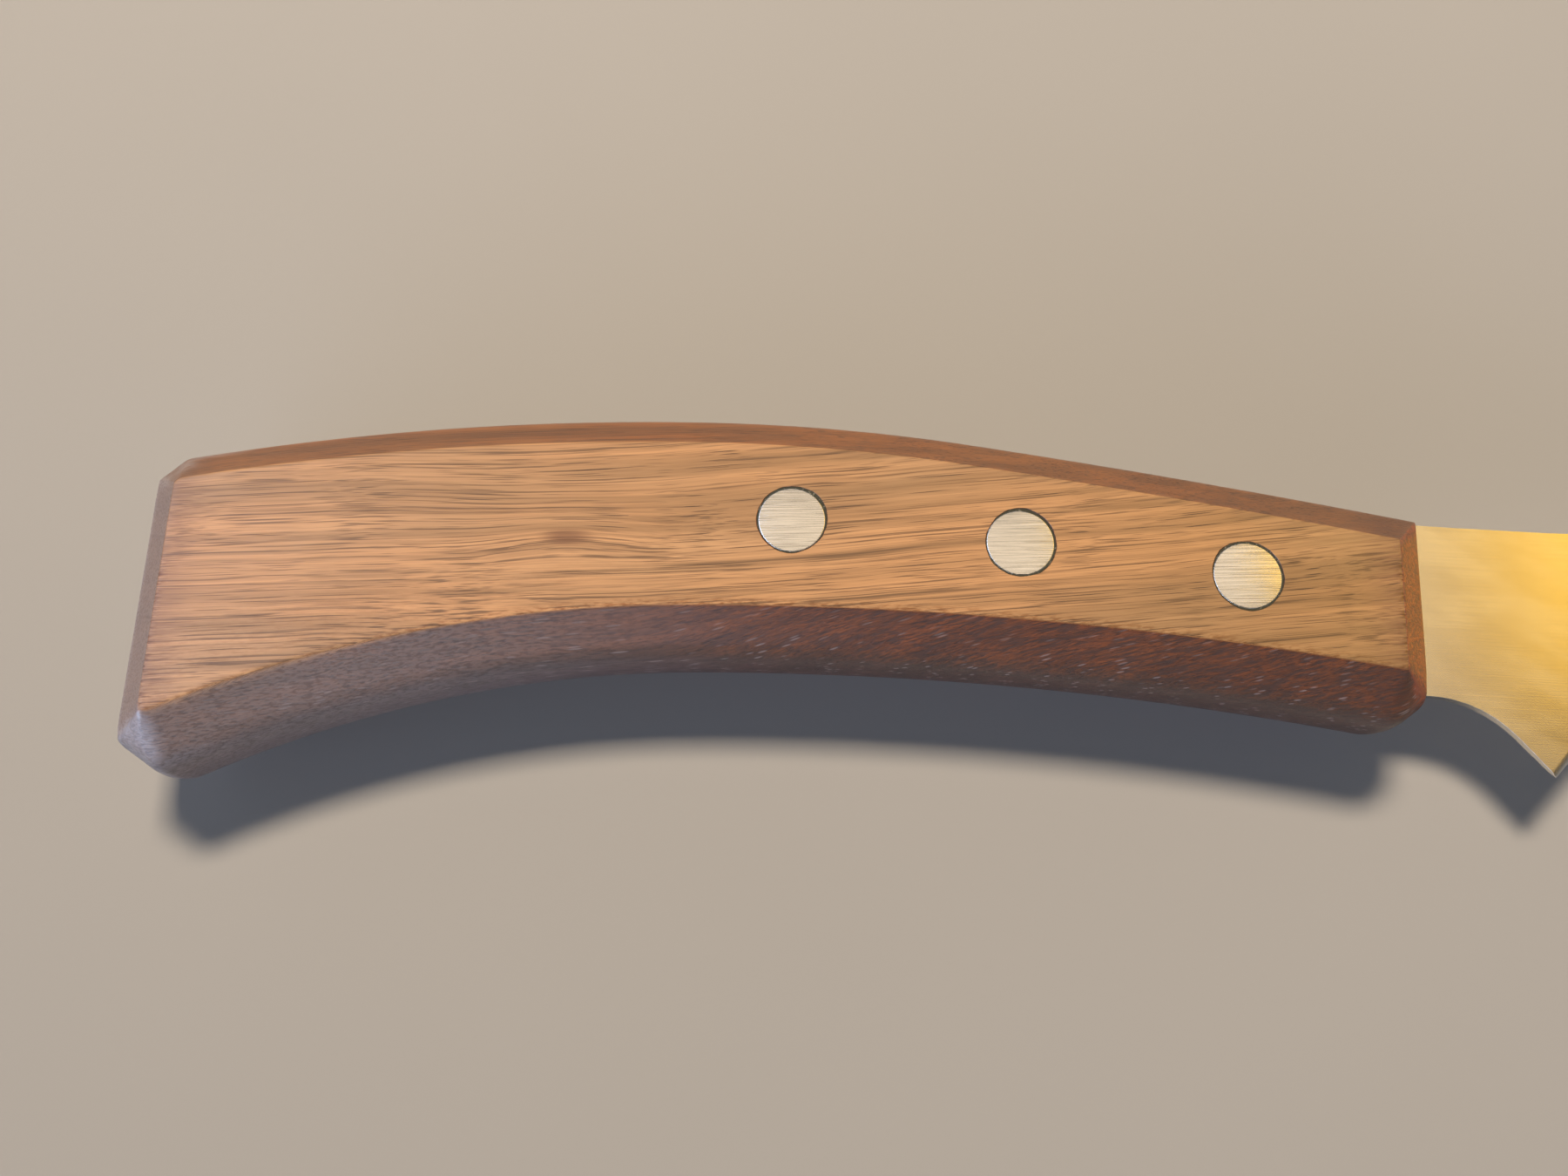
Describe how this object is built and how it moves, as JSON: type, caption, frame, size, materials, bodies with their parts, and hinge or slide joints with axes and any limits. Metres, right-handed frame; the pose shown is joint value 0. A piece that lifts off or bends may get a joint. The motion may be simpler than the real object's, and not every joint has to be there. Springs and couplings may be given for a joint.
{
  "type": "boning knife",
  "caption": "Boning knife with a narrow pointed blade, a spurred heel and a curved one-piece wooden handle with bevelled flats and flush rivets.",
  "frame": {"origin": "under the middle of the knife's bounding box, on the flat of the handle that it rests on", "axes": "+X along the knife towards the tip, +Y towards the spine, +Z the thickness, up from the side that it lies on"},
  "size_m": [0.2754, 0.0363, 0.016],
  "materials": {
    "walnut": "satin lacquered walnut, grain along the handle",
    "blade_steel": "finely ground, with faint scratches along the blade",
    "rivet_steel": "sanded flush, fine lines along the handle"
  },
  "bodies": {
    "root": {"handle": "walnut", "blade": "blade_steel", "rivet_front_female": "rivet_steel", "rivet_front_male": "rivet_steel", "rivet_middle_female": "rivet_steel", "rivet_middle_male": "rivet_steel", "rivet_rear_female": "rivet_steel", "rivet_rear_male": "rivet_steel"}
  },
  "joints": []
}
